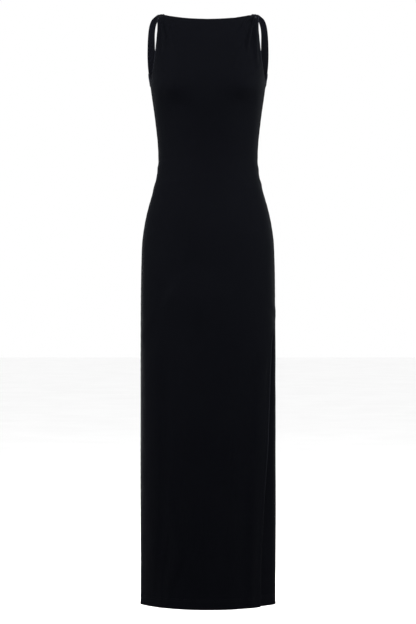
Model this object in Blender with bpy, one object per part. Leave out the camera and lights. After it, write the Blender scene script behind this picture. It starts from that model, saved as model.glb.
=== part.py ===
"""Long column dress in stretch jersey: high boat neck gathered at the shoulders, open back, side slit.

The garment is modelled as it hangs when worn, hollow, as walls of cloth. Metres, +Z up, the front faces -Y
and the wearer's left side is +X. The origin lies midway between the straps, level with their undersides where
they rest on the shoulders. A "drop" is a distance down from the straps' highest point, STRAP_RISE above the
origin.
"""

import bpy
import numpy as np

# Cloth and seams
CLOTH = 0.0016  # a heavy stretch jersey
STRAP_CLOTH = 0.0022  # the strap is folded double
SEAM_GAP = 0.0003
STRAP_RISE = 0.0030
UNDERARM_DROP = 0.171  # top of the side seams
UNDERARM_REACH = 0.030  # how far above and below it the yoke and the level sections are blended
BLEND_REACHES = (-0.024, -0.012, 0.0, 0.012, 0.024)
ACROSS_POWER = 2.1  # how square a section is across; its depth power is in the table
BLACK = (0.0100, 0.0108, 0.0145)
ROUGHNESS = 0.85

# The garment's level sections, from the underarm to the hem
SECTION_COLUMNS = ("drop", "half_width", "front", "back", "front_power", "back_power")
SECTIONS = (
    (0.140, 0.1530, 0.106, 0.090, 2.3, 3.0),
    (0.171, 0.1419, 0.111, 0.090, 2.3, 2.8),
    (0.210, 0.1358, 0.108, 0.088, 2.2, 2.5),
    (0.268, 0.1278, 0.096, 0.084, 2.2, 2.3),
    (0.327, 0.1220, 0.088, 0.078, 2.2, 2.2),
    (0.356, 0.1211, 0.087, 0.077, 2.2, 2.2),
    (0.385, 0.1236, 0.089, 0.080, 2.2, 2.2),
    (0.414, 0.1294, 0.093, 0.087, 2.2, 2.2),
    (0.444, 0.1372, 0.097, 0.096, 2.2, 2.2),
    (0.473, 0.1454, 0.101, 0.106, 2.2, 2.2),
    (0.502, 0.1523, 0.104, 0.115, 2.2, 2.2),
    (0.531, 0.1573, 0.107, 0.121, 2.2, 2.2),
    (0.561, 0.1606, 0.109, 0.123, 2.2, 2.2),
    (0.590, 0.1618, 0.110, 0.122, 2.2, 2.2),
    (0.648, 0.1632, 0.111, 0.116, 2.2, 2.1),
    (0.755, 0.1641, 0.109, 0.107, 2.1, 2.0),
    (0.941, 0.1647, 0.104, 0.101, 1.9, 1.9),
    (1.200, 0.1652, 0.102, 0.098, 1.5, 1.6),
    (1.438, 0.1648, 0.105, 0.100, 1.2, 1.3),
)

# The front panel above the underarm: its centre line and its armhole edge, a row for each crosswise line
# of the cloth. "cover" is how much of the torso's half width that line spans.
YOKE_COLUMNS = ("centre_drop", "centre_depth", "edge_x", "edge_depth", "edge_drop", "cover")
YOKE = (
    (0.0207, 0.063, 0.1235, 0.015, 0.0066, 0.70),
    (0.0300, 0.069, 0.1230, 0.028, 0.0145, 0.74),
    (0.0420, 0.076, 0.1227, 0.038, 0.0250, 0.78),
    (0.0560, 0.083, 0.1226, 0.046, 0.0410, 0.82),
    (0.0720, 0.090, 0.1239, 0.052, 0.0600, 0.85),
    (0.0880, 0.095, 0.1256, 0.056, 0.0800, 0.87),
    (0.1060, 0.100, 0.1278, 0.058, 0.1010, 0.90),
    (0.1290, 0.105, 0.1314, 0.050, 0.1290, 0.93),
    (0.1520, 0.109, 0.1374, 0.030, 0.1565, 0.975),
    (0.1710, 0.111, 0.1419, 0.000, 0.1710, 1.00),
)
NECK_REACH = 0.45  # share of the yoke over which the neckline's own curve dies out

# Boat neck, and the short shoulder seam at each end of it where the front is gathered into the strap
SEAM_INNER_X = 0.1055
SEAM_INNER_DROP = 0.0050
SEAM_INNER_DEPTH = 0.017
NECK_DIP_POWER = 2.35
NECK_CURVE_POWER = 2.2
SEAM_SHARE = 0.62  # share of the half panel's cloth outside which it is gathered into the seam
FAN_LENGTH = 0.75  # share of the yoke over which that cloth fans out again, quickly at first
FAN_POWER = 2.2
SEAM_NORMAL = (0.0, -0.45, 0.893)

# Back panel's upper edge: the armhole from the side seam to the strap, the strap's foot, and the scoop
FOOT_OUTER_SHARE = 0.80  # shares of the half section, from the centre back
FOOT_INNER_SHARE = 0.672
FOOT_OUTER_DROP = 0.140
FOOT_INNER_DROP = 0.142
ARMHOLE_POWER = 1.6
SCOOP_DROP = 0.330
SCOOP_POWER = 2.6
LEVEL_DROP = 0.385  # below this the back panel's crosswise lines are level

# Strap between the shoulder seam and its foot: its outer and inner edge
STRAP_COLUMNS = ("outer_x", "outer_y", "outer_drop", "inner_x", "inner_y", "inner_drop")
STRAP_PATH = (
    (0.1236, -0.004, 0.0032, 0.1060, -0.005, 0.0013),
    (0.1268, 0.008, 0.0034, 0.1090, 0.008, 0.0011),
    (0.1319, 0.019, 0.0058, 0.1145, 0.021, 0.0040),
    (0.1381, 0.029, 0.0102, 0.1205, 0.032, 0.0088),
    (0.1428, 0.039, 0.0182, 0.1259, 0.043, 0.0172),
    (0.1461, 0.046, 0.0305, 0.1296, 0.052, 0.0305),
    (0.1484, 0.050, 0.0500, 0.1312, 0.059, 0.0505),
    (0.1494, 0.051, 0.0700, 0.1312, 0.063, 0.0710),
    (0.1497, 0.049, 0.0930, 0.1308, 0.065, 0.0940),
    (0.1489, 0.045, 0.1170, 0.1304, 0.064, 0.1180),
)
STRAP_CROWN = 0.0018  # how far its middle stands out of a flat band
STRAP_ACROSS = 5

# Side slit at the wearer's left: where each panel's free edge lies, as a share of the half width on the front
SLIT_COLUMNS = ("drop", "front_edge", "back_edge")
SLIT = (
    (0.755, 1.000, 1.000),
    (0.785, 0.955, 0.962),
    (0.815, 0.934, 0.915),
    (0.850, 0.925, 0.885),
    (0.940, 0.908, 0.855),
    (1.000, 0.893, 0.835),
    (1.040, 0.885, 0.820),
    (1.105, 0.857, 0.785),
    (1.185, 0.823, 0.750),
    (1.245, 0.808, 0.728),
    (1.310, 0.782, 0.705),
    (1.438, 0.764, 0.690),
)
SLIT_TOP = SLIT[0][0]
LAP_DEPTH = 0.0090  # how far inside the front the back panel's lap lies
LAP_ONSET = 0.045  # way down from the slit's top over which it reaches that
LAP_INSET = 0.4  # how far it moves towards the middle, as a share of that
LAP_TURN = 0.95  # share of the way from the side to the front's free edge on which it goes under

# Bust shaping, made by the cut: one rounded fullness each side, longer above its fullest point than below
BUST_X = 0.096
BUST_DROP = 0.186
BUST_HEIGHT = 0.017
BUST_ACROSS = 0.046
BUST_ABOVE = 0.070
BUST_BELOW = 0.031

# Soft folds of the front: where each one's line lies at its top, half way down and at its foot, its height
# and its half width. The gathers fan from the shoulder seams, and the skirt's folds hang from the hip.
FOLD_COLUMNS = ("top_x", "middle_x", "foot_x", "top_drop", "foot_drop", "height", "half_width")
FOLDS = (
    (0.1150, 0.0965, 0.0940, 0.004, 0.108, 0.0048, 0.0055),
    (0.1080, 0.0815, 0.0660, 0.002, 0.086, 0.0034, 0.0060),
    (0.0960, 0.0590, 0.0360, 0.003, 0.060, 0.0014, 0.0070),
    (0.1200, 0.1185, 0.1180, 0.010, 0.125, 0.0020, 0.0036),
    (-0.1150, -0.1060, -0.1035, 0.004, 0.105, 0.0040, 0.0055),
    (-0.1070, -0.0890, -0.0800, 0.002, 0.062, 0.0020, 0.0050),
    (-0.1200, -0.1185, -0.1180, 0.010, 0.115, 0.0020, 0.0036),
    (-0.1410, -0.1420, -0.1400, 0.860, 1.520, 0.0035, 0.0150),
    (-0.0860, -0.0570, -0.0900, 1.130, 1.470, 0.0045, 0.0120),
    (-0.1000, -0.1080, -0.1150, 1.220, 1.520, 0.0030, 0.0090),
    (-0.0160, -0.0250, -0.0420, 1.200, 1.370, 0.0020, 0.0120),
)
FOLD_START = 0.16  # share of a fold's length over which it rises
FOLD_END = 0.5  # and over which it dies out
TROUGH_DEPTH = 0.5  # a trough's depth as a share of its ridge's height
TROUGH_OFFSET = 2.0  # and its distance, in half widths
EDGE_HOLD = (0.0, 0.5)  # how freely the outermost columns of the front stand out

# Where the cloth is sampled
YOKE_ROWS = 15
YOKE_ROW_CROWDING = 1.1
FRONT_DROPS = (0.171, 0.192, 0.213, 0.238, 0.268, 0.300, 0.330, 0.358, 0.385, 0.414, 0.444, 0.473, 0.502,
               0.531, 0.561, 0.600, 0.650, 0.700, 0.755, 0.785, 0.815, 0.850, 0.895, 0.940, 0.985, 1.030,
               1.080, 1.130, 1.185, 1.245, 1.300, 1.350, 1.395, 1.438)
BACK_DROPS = (0.385, 0.414, 0.444, 0.473, 0.502, 0.531, 0.561, 0.600, 0.650, 0.700, 0.755, 0.785, 0.815,
              0.850, 0.895, 0.940, 0.985, 1.030, 1.080, 1.130, 1.185, 1.245, 1.310, 1.375, 1.438)
SCOOP_ROWS = 8
FRONT_SHARES = (0.0, 0.09, 0.18, 0.27, 0.35, 0.43, 0.50, 0.56, 0.62, 0.66, 0.70, 0.74, 0.78, 0.82, 0.86,
                0.90, 0.935, 0.97, 1.0)
BACK_SHARES = (0.0, 0.07, 0.14, 0.22, 0.31, 0.40, 0.49, 0.58, 0.672, 0.704, 0.736, 0.768, 0.80, 0.85, 0.90,
               0.95, 1.0)
LAP_COLUMNS = 3  # beyond the last but one of these on the wearer's left, where the slit's lap lies
DENSE = 241  # points along a half line before it is divided by length
TOLERANCE = 1e-6
LEAST_ACROSS = 0.6  # least share of a seam's normal that is taken to lie along X
SHARP_ANGLE = 0.9


def column(table, names, name):
    """One named column of a table, as an array."""
    return np.array([row[names.index(name)] for row in table], float)


def smooth(at, knots, values):
    """A curve through (knots, values) that never swings past them, read at one or many places."""
    step = np.diff(knots)
    slope = np.diff(values) / step
    same_way = slope[1:] * slope[:-1] > 0
    total = np.where(same_way, slope[1:] + slope[:-1], 1.0)
    inside = np.where(same_way, 2 * slope[1:] * slope[:-1] / total, 0.0)
    tangent = np.concatenate([[slope[0]], inside, [slope[-1]]])
    at = np.clip(at, knots[0], knots[-1])
    i = np.clip(np.searchsorted(knots, at, side="right") - 1, 0, len(step) - 1)
    t = (at - knots[i]) / step[i]
    start = (2 * t**3 - 3 * t**2 + 1) * values[i] + (t**3 - 2 * t**2 + t) * step[i] * tangent[i]
    return start + (3 * t**2 - 2 * t**3) * values[i + 1] + (t**3 - t**2) * step[i] * tangent[i + 1]


def section(name, drop):
    """A size of the garment's level section at a drop."""
    return smooth(drop, column(SECTIONS, SECTION_COLUMNS, "drop"), column(SECTIONS, SECTION_COLUMNS, name))


def slit_share(name, drop):
    """How far round the front a free edge of the slit lies; 1 is the side seam."""
    return smooth(drop, column(SLIT, SLIT_COLUMNS, "drop"), column(SLIT, SLIT_COLUMNS, name))


def ease(t):
    """0 to 1 with a soft start and end."""
    t = np.clip(t, 0.0, 1.0)
    return t * t * (3 - 2 * t)


def roundness(u, power):
    """Depth of a section at the share u of its half width: 1 at the centre, 0 at the side."""
    return np.clip(1 - np.abs(u) ** ACROSS_POWER, 0.0, 1.0) ** (1 / power)


def crowded(count):
    """Shares from 0 to 1, closer together towards 1, where a section turns round the side."""
    return np.sin(np.linspace(0, np.pi / 2, count))


def distances(line):
    """Distance of each of a line's points from its start."""
    return np.concatenate([[0.0], np.cumsum(np.linalg.norm(np.diff(line, axis=0), axis=1))])


def length(line):
    """Length of a line of points."""
    return distances(line)[-1]


def at_shares(line, shares):
    """Points at given shares of a line's length."""
    along = distances(line)
    return np.stack([np.interp(np.asarray(shares) * along[-1], along, line[:, k]) for k in range(3)], axis=1)


def bust(x, drop):
    """How far the bust shaping stands out."""
    spread = np.where(drop < BUST_DROP, BUST_ABOVE, BUST_BELOW)
    across = (np.abs(x) - BUST_X) / BUST_ACROSS
    return BUST_HEIGHT * np.exp(-(across**2) - ((drop - BUST_DROP) / spread) ** 2)


def folds(x, drop):
    """How far the folds stand out: each is a ridge that fades at both ends, with a trough beside it."""
    total = np.zeros_like(x)
    for top_x, middle_x, foot_x, top_drop, foot_drop, height, half_width in FOLDS:
        t = (drop - top_drop) / (foot_drop - top_drop)
        line = top_x * (2 * t - 1) * (t - 1) + 4 * middle_x * t * (1 - t) + foot_x * t * (2 * t - 1)
        offset = (x - line) / half_width
        fade = ease(t / FOLD_START) * ease((1 - t) / FOLD_END)
        trough = TROUGH_DEPTH * np.exp(-((np.abs(offset) - TROUGH_OFFSET) ** 2))
        total += height * fade * (np.exp(-(offset**2)) - trough)
    return total


def front_level_half(drop, side):
    """Half of a crosswise line of the front panel below the underarm, centre to edge."""
    edge = slit_share("front_edge", drop) if side > 0 else 1.0
    u = crowded(DENSE) * edge
    depth = section("front", drop) * roundness(u, section("front_power", drop))
    if edge == 1.0:
        depth = np.maximum(depth, SEAM_GAP / 2)
    return np.stack([side * u * section("half_width", drop), -depth, np.full(DENSE, -drop)], axis=1)


def neckline(x, edge_x, edge_drop, edge_depth):
    """Drop and depth of the front panel's top edge: the boat neck, then straight along the shoulder seam."""
    u = np.clip(x / SEAM_INNER_X, 0.0, 1.0)
    centre_drop = YOKE[0][YOKE_COLUMNS.index("centre_drop")]
    centre_depth = YOKE[0][YOKE_COLUMNS.index("centre_depth")]
    neck_drop = centre_drop + (SEAM_INNER_DROP - centre_drop) * u**NECK_DIP_POWER
    neck_depth = centre_depth + (SEAM_INNER_DEPTH - centre_depth) * u**NECK_CURVE_POWER
    seam = np.clip((x - SEAM_INNER_X) / (edge_x - SEAM_INNER_X), 0.0, 1.0)
    drop = neck_drop + (edge_drop - SEAM_INNER_DROP) * seam
    return drop, neck_depth + (edge_depth - SEAM_INNER_DEPTH) * seam


def yoke_half(t, side):
    """Half of a crosswise line of the yoke; t is 0 at the neckline and 1 at the underarm."""
    knots = np.linspace(0, 1, len(YOKE))
    centre_drop, centre_depth, edge_x, edge_depth, edge_drop, cover = (
        smooth(t, knots, column(YOKE, YOKE_COLUMNS, name)) for name in YOKE_COLUMNS
    )
    u = crowded(DENSE)
    x = u * edge_x
    power = section("front_power", UNDERARM_DROP)
    if t > knots[-2]:  # the armhole's edge runs into the side seam along the torso's own section
        cover = (1 - (edge_depth / centre_depth) ** power) ** (1 / ACROSS_POWER)
    fall = (1 - roundness(u * cover, power)) / (1 - roundness(cover, power))
    depth = centre_depth + (edge_depth - centre_depth) * fall
    drop = centre_drop + (edge_drop - centre_drop) * u**NECK_DIP_POWER
    neck_drop, neck_depth = neckline(x, edge_x, edge_drop, edge_depth)
    near_top = (1 - ease(t / NECK_REACH)) ** 2
    drop = drop + (neck_drop - drop) * near_top
    depth = depth + (neck_depth - depth) * near_top
    depth = np.maximum(depth, SEAM_GAP / 2)
    return np.stack([side * x, -depth, -drop], axis=1)


def gathered(shares, t, line):
    """Shares of the cloth, moved so that at the neckline those beyond SEAM_SHARE lie in the shoulder seam."""
    along = distances(line)
    seam_start = np.interp(SEAM_INNER_X, np.abs(line[:, 0]), along) / along[-1]
    top = np.interp(shares, [0.0, SEAM_SHARE, 1.0], [0.0, seam_start, 1.0])
    spread = 1 - (1 - min(t / FAN_LENGTH, 1.0)) ** FAN_POWER
    return top + (np.asarray(shares) - top) * spread


def blended(grid, freedom):
    """The grid, evened out about the underarm, where the yoke's rows meet the level ones."""
    drops = -grid[..., 2]
    even = grid.copy()
    for k in range(grid.shape[1]):
        for axis in (0, 1):
            line = grid[:, k, axis]
            around = [np.interp(drops[:, k] + reach, drops[:, k], line) for reach in BLEND_REACHES]
            even[:, k, axis] = np.mean(around, axis=0)
    near = np.exp(-(((drops - UNDERARM_DROP) / UNDERARM_REACH) ** 2)) * freedom
    return grid + (even - grid) * near[..., None]


def front_grid():
    """Outer points of the front panel: rows from the neckline to the hem, columns from right to left."""
    rows = []
    for t in np.linspace(0, 1, YOKE_ROWS + 1)[:-1] ** YOKE_ROW_CROWDING:
        halves = []
        for side in (-1, 1):
            line = yoke_half(t, side)
            halves.append(at_shares(line, gathered(FRONT_SHARES, t, line)))
        rows.append(np.concatenate([halves[0][:0:-1], halves[1]]))
    for drop in FRONT_DROPS:
        halves = [at_shares(front_level_half(drop, side), FRONT_SHARES) for side in (-1, 1)]
        rows.append(np.concatenate([halves[0][:0:-1], halves[1]]))
    grid = np.array(rows)
    stand_out = bust(grid[..., 0], -grid[..., 2]) + folds(grid[..., 0], -grid[..., 2])
    freedom = np.ones(grid.shape[:2])
    for k, value in enumerate(EDGE_HOLD):
        freedom[:, [k, -1 - k]] = value
    freedom[0, :] = 0.0
    grid = blended(grid, freedom)
    grid[..., 1] -= stand_out * freedom
    return grid


def back_top_drop(share):
    """Drop of the back panel's upper edge at a share of the half section, from the centre back."""
    scoop = SCOOP_DROP + (FOOT_INNER_DROP - SCOOP_DROP) * (share / FOOT_INNER_SHARE) ** SCOOP_POWER
    foot = np.interp(share, [FOOT_INNER_SHARE, FOOT_OUTER_SHARE], [FOOT_INNER_DROP, FOOT_OUTER_DROP])
    t = (share - FOOT_OUTER_SHARE) / (1 - FOOT_OUTER_SHARE)
    curve = 1 - (1 - np.clip(t, 0, 1)) ** ARMHOLE_POWER
    armhole = FOOT_OUTER_DROP + (UNDERARM_DROP - FOOT_OUTER_DROP) * curve
    return np.where(share < FOOT_INNER_SHARE, scoop, np.where(share <= FOOT_OUTER_SHARE, foot, armhole))


def back_half(drop, side):
    """Half of a level line round the back, with the slit's lap at its end, and the lap's share of it."""
    half_width = section("half_width", drop)
    lap_edge = slit_share("back_edge", drop) if side > 0 else 1.0
    least = 0.0 if lap_edge < 1.0 else SEAM_GAP / 2
    u = crowded(DENSE)
    y = np.maximum(section("back", drop) * roundness(u, section("back_power", drop)), least)
    line = np.stack([side * u * half_width, y, np.full(DENSE, -drop)], axis=1)
    if lap_edge == 1.0:
        return line, 0.0
    u = np.linspace(1.0, lap_edge, DENSE // 3)[1:]
    x, y = u * half_width, -section("front", drop) * roundness(u, section("front_power", drop))
    turn = LAP_TURN * (1 - slit_share("front_edge", drop))
    tuck = LAP_DEPTH * ease((drop - SLIT_TOP) / LAP_ONSET) * ease((1 - u) / turn)
    lap = np.stack([x - LAP_INSET * tuck, y + tuck, np.full(len(u), -drop)], axis=1)
    return np.concatenate([line, lap]), length(lap) / (length(line) + length(lap))


def left_shares(lap):
    """Shares along the wearer's left half, centre to free edge, with the lap at the end."""
    body = np.array(BACK_SHARES[:-1]) * (1 - lap) / BACK_SHARES[-2]
    return np.concatenate([body, 1 - lap * np.arange(LAP_COLUMNS)[::-1] / LAP_COLUMNS])


def back_grid():
    """Outer points of the back panel: rows from the scoop to the hem, columns from left to right."""
    least = 1 - BACK_SHARES[-2]
    rows = []
    for k in range(SCOOP_ROWS):
        row = []
        for side, across in ((1, left_shares(least)[:0:-1]), (-1, BACK_SHARES)):
            for share in across:
                top = float(back_top_drop(share))
                drop = top + (LEVEL_DROP - top) * k / SCOOP_ROWS
                row.append(at_shares(back_half(drop, side)[0], [share])[0])
        rows.append(np.array(row))
    for drop in BACK_DROPS:
        line, lap = back_half(drop, 1)
        left = at_shares(line, left_shares(max(lap, least)))
        right = at_shares(back_half(drop, -1)[0], BACK_SHARES)
        rows.append(np.concatenate([left[:0:-1], right]))
    return np.array(rows)


def normals(grid):
    """Outward unit normals of a grid whose rows run down and whose columns run anticlockwise from above."""
    across = np.gradient(grid, axis=1)
    down = np.gradient(grid, axis=0)
    n = np.cross(down, across)
    return n / np.linalg.norm(n, axis=2, keepdims=True)


def wall(name, outer, inner, material):
    """A closed sheet of cloth between two grids of the same shape."""
    rows, columns = outer.shape[:2]
    count = rows * columns
    index = np.arange(count).reshape(rows, columns)
    faces = []
    for r in range(rows - 1):
        for c in range(columns - 1):
            a, b, d, e = index[r, c], index[r, c + 1], index[r + 1, c + 1], index[r + 1, c]
            faces.append((e, d, b, a))
            faces.append((a + count, b + count, d + count, e + count))
    rim = list(index[0, :]) + list(index[1:, -1]) + list(index[-1, -2::-1]) + list(index[-2:0:-1, 0])
    for here, after in zip(rim, rim[1:] + rim[:1]):
        faces.append((here, after, after + count, here + count))
    mesh = bpy.data.meshes.new(name)
    points = np.concatenate([outer.reshape(-1, 3), inner.reshape(-1, 3)]) + [0.0, 0.0, STRAP_RISE]
    mesh.from_pydata([tuple(p) for p in points.tolist()], [], [tuple(int(i) for i in f) for f in faces])
    mesh.shade_smooth()
    mesh.set_sharp_from_angle(angle=SHARP_ANGLE)
    mesh.materials.append(material)
    obj = bpy.data.objects.new(name, mesh)
    bpy.context.scene.collection.objects.link(obj)


def mitre(inner, outer, normal, column, rows):
    """Moves the inner points of a seam's column straight in along X, so that two panels meet on its plane."""
    across = np.maximum(np.abs(normal[rows, column, 0]), LEAST_ACROSS)
    inner[rows, column] = outer[rows, column]
    inner[rows, column, 0] -= np.sign(outer[rows, column, 0]) * CLOTH / across


def front_panel(material):
    """The front, one piece from neckline to hem. Gives its outer points."""
    outer = front_grid()
    normal = normals(outer)
    inner = outer - normal * CLOTH
    drops = -outer[:, 0, 2]
    seamed = drops >= UNDERARM_DROP - TOLERANCE
    mitre(inner, outer, normal, 0, seamed)
    mitre(inner, outer, normal, -1, seamed & (drops <= SLIT_TOP + TOLERANCE))
    gathers = np.abs(outer[0, :, 0]) > SEAM_INNER_X - TOLERANCE
    inner[0, gathers] = outer[0, gathers] - CLOTH * np.array(SEAM_NORMAL)
    wall("front_panel", outer, inner, material)
    return outer


def back_panel(material):
    """The back, one piece from the scoop to the hem. Gives its outer and inner points."""
    outer = back_grid()
    normal = normals(outer)
    inner = outer - normal * CLOTH
    drops = -outer[:, 0, 2]
    mitre(inner, outer, normal, -1, drops > 0)
    mitre(inner, outer, normal, 0, drops <= SLIT_TOP + TOLERANCE)
    wall("back_panel", outer, inner, material)
    return outer, inner


def strap(name, side, front_outer, back_outer, back_inner, material):
    """A strap over one shoulder, from the front's gathered corner to its foot on the back panel."""
    top = front_outer[0]
    seam = top[(np.abs(top[:, 0]) > SEAM_INNER_X - TOLERANCE) & (np.sign(top[:, 0]) == side)]
    seam = seam[np.argsort(-np.abs(seam[:, 0]))] + SEAM_GAP * np.array([0.0, SEAM_NORMAL[2], -SEAM_NORMAL[1]])
    edges = [(seam[0], seam[-1])]
    for outer_x, outer_y, outer_drop, inner_x, inner_y, inner_drop in STRAP_PATH:
        edges.append(((side * outer_x, outer_y, -outer_drop), (side * inner_x, inner_y, -inner_drop)))
    edges = np.array(edges)
    middle = len(BACK_SHARES) - 2 + LAP_COLUMNS
    inner, outer = BACK_SHARES.index(FOOT_INNER_SHARE), BACK_SHARES.index(FOOT_OUTER_SHARE)
    feet = [middle - side * k for k in range(outer, inner - 1, -1)]
    foot = back_outer[0, feet] + [0.0, 0.0, SEAM_GAP]
    across = np.linspace(0, 1, STRAP_ACROSS)
    outer = edges[:, :1] * (1 - across[None, :, None]) + edges[:, 1:] * across[None, :, None]
    outer = np.concatenate([outer, foot[None]])
    foot_normal = (back_outer - back_inner)[0, feet] / CLOTH
    if side < 0:
        outer, foot_normal = outer[:, ::-1], foot_normal[::-1]
    normal = normals(outer)
    along_crown = np.sqrt(np.sin(np.pi * np.linspace(0, 1, len(outer))))
    crown = STRAP_CROWN * along_crown[:, None] * np.sin(np.pi * across)[None, :]
    outer = outer + normal * crown[..., None]
    inner = outer - normal * STRAP_CLOTH
    inner[0] = outer[0] - STRAP_CLOTH * np.array(SEAM_NORMAL)
    inner[-1] = outer[-1] - STRAP_CLOTH * foot_normal
    wall(name, outer, inner, material)


def jersey(name):
    """The black jersey, as a material of its own for each piece."""
    material = bpy.data.materials.new(name)
    material.use_nodes = True
    shader = material.node_tree.nodes["Principled BSDF"]
    shader.inputs["Base Color"].default_value = (*BLACK, 1.0)
    shader.inputs["Roughness"].default_value = ROUGHNESS
    shader.inputs["Metallic"].default_value = 0.0
    return material


def main():
    for obj in list(bpy.data.objects):
        bpy.data.objects.remove(obj)
    front_outer = front_panel(jersey("front_jersey"))
    back_outer, back_inner = back_panel(jersey("back_jersey"))
    for name, side in (("strap_left", 1), ("strap_right", -1)):
        strap(name, side, front_outer, back_outer, back_inner, jersey(name + "_jersey"))


main()
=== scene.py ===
import math

import bpy
import numpy as np
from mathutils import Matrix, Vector, noise


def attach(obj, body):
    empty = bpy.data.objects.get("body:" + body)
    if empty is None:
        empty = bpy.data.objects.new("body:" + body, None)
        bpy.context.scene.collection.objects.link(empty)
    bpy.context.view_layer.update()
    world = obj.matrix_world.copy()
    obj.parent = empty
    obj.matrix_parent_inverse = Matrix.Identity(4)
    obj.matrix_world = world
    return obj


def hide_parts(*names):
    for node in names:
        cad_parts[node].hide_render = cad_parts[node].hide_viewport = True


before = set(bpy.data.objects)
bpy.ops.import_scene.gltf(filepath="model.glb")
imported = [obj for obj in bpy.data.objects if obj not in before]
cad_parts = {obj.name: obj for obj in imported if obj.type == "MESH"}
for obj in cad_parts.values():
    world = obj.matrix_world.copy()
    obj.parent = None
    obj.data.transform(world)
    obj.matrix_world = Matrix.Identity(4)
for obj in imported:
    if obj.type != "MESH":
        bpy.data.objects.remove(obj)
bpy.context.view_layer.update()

# The looks of a long column dress in matt black stretch jersey: a high boat neck gathered at the shoulders,
# an open back and a side slit. Metres, +Z up, the front faces -Y and the wearer's left side is +X. A "drop"
# is a distance down from the straps' highest point, which is STRAP_RISE above the origin.

# Cloth and seams
CLOTH = 0.0016
STRAP_CLOTH = 0.0022
SEAM_GAP = 0.0003
STRAP_RISE = 0.0030
UNDERARM_DROP = 0.171  # top of the side seams
UNDERARM_REACH = 0.030  # how far above and below it the yoke and the level sections are blended
BLEND_REACHES = (-0.024, -0.018, -0.012, -0.006, 0.0, 0.006, 0.012, 0.018, 0.024)
HEM_DROP = 1.438
ACROSS_POWER = 2.1  # how square a section is across; its depth power is in the table

# The garment's level sections, from the underarm to the hem
SECTION_COLUMNS = ("drop", "half_width", "front", "back", "front_power", "back_power")
SECTIONS = (
    (0.140, 0.1530, 0.106, 0.090, 2.3, 3.0),
    (0.171, 0.1419, 0.111, 0.090, 2.3, 2.8),
    (0.210, 0.1358, 0.108, 0.088, 2.2, 2.5),
    (0.268, 0.1278, 0.096, 0.084, 2.2, 2.3),
    (0.327, 0.1220, 0.088, 0.078, 2.2, 2.2),
    (0.356, 0.1211, 0.087, 0.077, 2.2, 2.2),
    (0.385, 0.1236, 0.089, 0.080, 2.2, 2.2),
    (0.414, 0.1294, 0.093, 0.087, 2.2, 2.2),
    (0.444, 0.1372, 0.097, 0.096, 2.2, 2.2),
    (0.473, 0.1454, 0.101, 0.106, 2.2, 2.2),
    (0.502, 0.1523, 0.104, 0.115, 2.2, 2.2),
    (0.531, 0.1573, 0.107, 0.121, 2.2, 2.2),
    (0.561, 0.1606, 0.109, 0.123, 2.2, 2.2),
    (0.590, 0.1618, 0.110, 0.122, 2.2, 2.2),
    (0.648, 0.1632, 0.111, 0.116, 2.2, 2.1),
    (0.755, 0.1641, 0.109, 0.107, 2.1, 2.0),
    (0.941, 0.1647, 0.104, 0.101, 1.9, 1.9),
    (1.200, 0.1652, 0.102, 0.098, 1.5, 1.6),
    (1.438, 0.1648, 0.105, 0.100, 1.2, 1.3),
)

# The front above the underarm: its centre line and its armhole edge, a row for each crosswise line of the
# cloth. "cover" is how much of the torso's half width that line spans.
YOKE_COLUMNS = ("centre_drop", "centre_depth", "edge_x", "edge_depth", "edge_drop", "cover")
YOKE = (
    (0.0207, 0.063, 0.1235, 0.015, 0.0066, 0.70),
    (0.0300, 0.069, 0.1230, 0.028, 0.0145, 0.74),
    (0.0420, 0.076, 0.1227, 0.038, 0.0250, 0.78),
    (0.0560, 0.083, 0.1226, 0.046, 0.0410, 0.82),
    (0.0720, 0.090, 0.1239, 0.052, 0.0600, 0.85),
    (0.0880, 0.095, 0.1256, 0.056, 0.0800, 0.87),
    (0.1060, 0.100, 0.1278, 0.058, 0.1010, 0.90),
    (0.1290, 0.105, 0.1314, 0.050, 0.1290, 0.93),
    (0.1520, 0.109, 0.1374, 0.030, 0.1565, 0.975),
    (0.1710, 0.111, 0.1419, 0.000, 0.1710, 1.00),
)
NECK_REACH = 0.45  # share of the yoke over which the neckline's own curve dies out

# Boat neck, and the short shoulder seam at each end of it where the front is gathered into the strap
SEAM_INNER_X = 0.1055
SEAM_INNER_DROP = 0.0050
SEAM_INNER_DEPTH = 0.017
NECK_DIP_POWER = 2.35
NECK_CURVE_POWER = 2.2
SEAM_SHARE = 0.62  # share of the half panel's cloth outside which it is gathered into the seam
FAN_LENGTH = 0.75  # share of the yoke over which that cloth fans out again, quickly at first
FAN_POWER = 2.2
SEAM_NORMAL = (0.0, -0.45, 0.893)

# The back's upper edge: the armhole from the side seam to the strap, the strap's foot, and the scoop
FOOT_OUTER_SHARE = 0.80  # shares of the half section, from the centre back
FOOT_INNER_SHARE = 0.672
FOOT_OUTER_DROP = 0.140
FOOT_INNER_DROP = 0.142
ARMHOLE_POWER = 1.6
SCOOP_DROP = 0.330
SCOOP_POWER = 2.6
LEVEL_DROP = 0.385  # below this the back's crosswise lines are level
MOST_STEEPNESS = 3.5  # by which the rows along the upper edge are spaced out where it is steep
STEEPNESS_COLUMNS = 2  # on each side, over which that is evened out

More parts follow.
